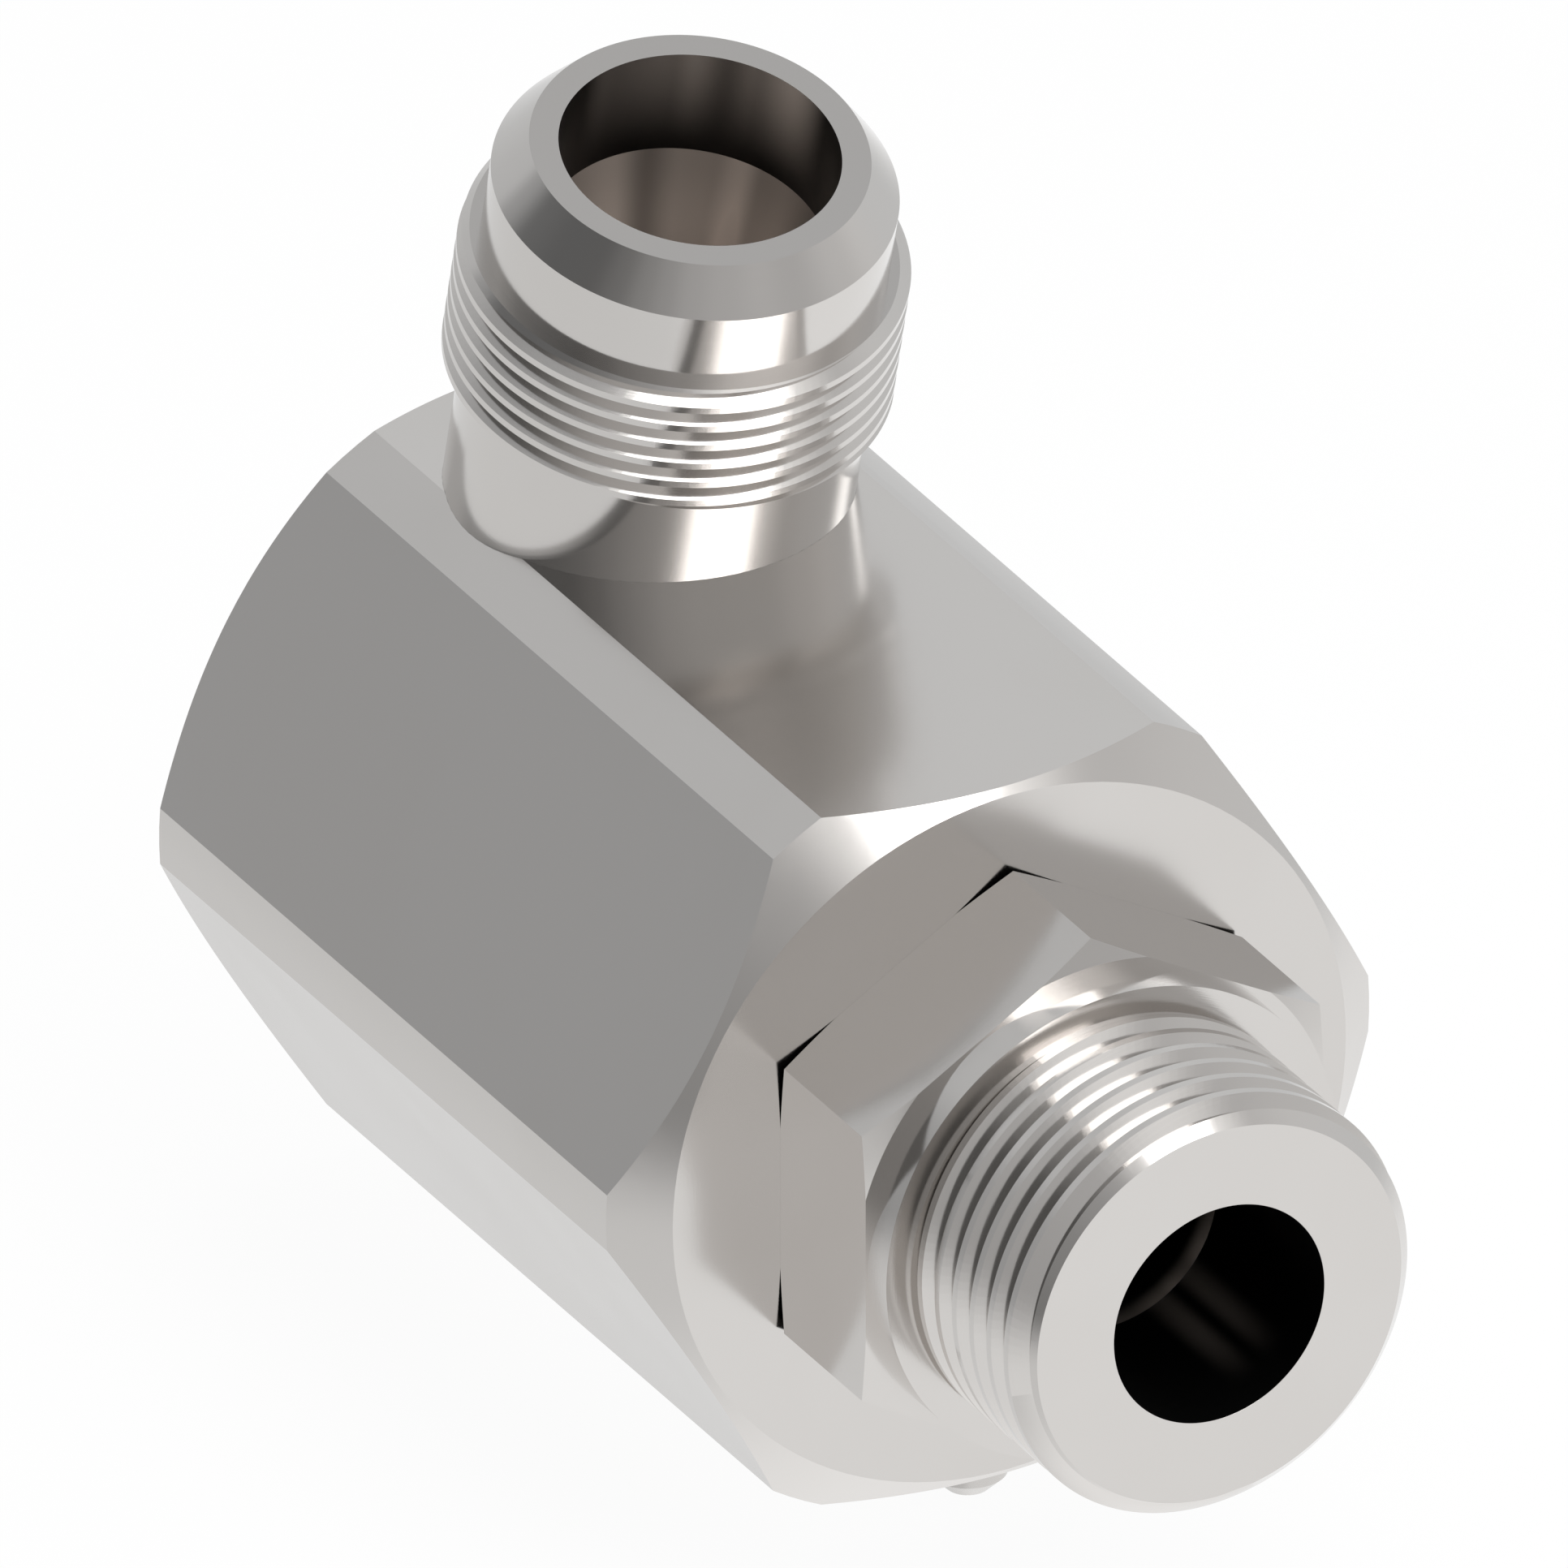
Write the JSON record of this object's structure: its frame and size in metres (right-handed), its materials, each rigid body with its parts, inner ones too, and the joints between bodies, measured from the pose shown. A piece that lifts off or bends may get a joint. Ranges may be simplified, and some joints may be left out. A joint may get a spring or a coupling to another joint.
{
  "type": "hydraulic live swivel fitting",
  "caption": "Hydraulic live swivel fitting: hexagon body with a tilted flare-end port, and a hollow threaded stem with its own hexagon that turns on balls inside it.",
  "frame": {"origin": "centre of the stem's end face, on the swivel axis", "axes": "+X along the swivel axis out of the stem, +Z the outward normal of the body flat that carries the port, +Y completes a right-handed frame"},
  "size_m": [0.1009, 0.0634, 0.0946],
  "materials": {
    "body_metal": "satin polished stainless steel, faintly brushed",
    "port_metal": "polished stainless steel, turned",
    "plug_metal": "satin stainless steel pin end",
    "stem_metal": "polished stainless steel, turned and threaded",
    "seal_rubber": "smooth black seal rubber",
    "backup_plastic": "matte white backup ring plastic",
    "guide_plastic": "matte grey-green filled guide ring plastic",
    "ball_steel": "mirror polished bearing steel"
  },
  "bodies": {
    "body": {"housing": "body_metal", "port_adapter": "port_metal", "front_ball_plug": "plug_metal", "rear_ball_plug": "plug_metal", "wiper_ring": "seal_rubber"},
    "stem": {"stem": "stem_metal", "grease_seal": "seal_rubber", "pressure_seal": "seal_rubber", "front_backup_ring": "backup_plastic", "rear_backup_ring": "backup_plastic", "front_guide_ring": "guide_plastic", "rear_guide_ring": "guide_plastic"},
    "front_ball_row": {"front_balls": "ball_steel"},
    "rear_ball_row": {"rear_balls": "ball_steel"}
  },
  "joints": [
    {"name": "stem_swivel", "type": "hinge", "parent": "body", "child": "stem", "pos_m": [0, 0, 0], "axis": [1, 0, 0], "continuous": true},
    {"name": "front_row_roll", "type": "hinge", "parent": "body", "child": "front_ball_row", "pos_m": [0, 0, 0], "axis": [1, 0, 0], "continuous": true},
    {"name": "rear_row_roll", "type": "hinge", "parent": "body", "child": "rear_ball_row", "pos_m": [0, 0, 0], "axis": [1, 0, 0], "continuous": true}
  ],
  "couplings": [
    {"joint": "front_row_roll", "follows": "stem_swivel", "ratio": 0.4134},
    {"joint": "rear_row_roll", "follows": "stem_swivel", "ratio": 0.4134}
  ]
}
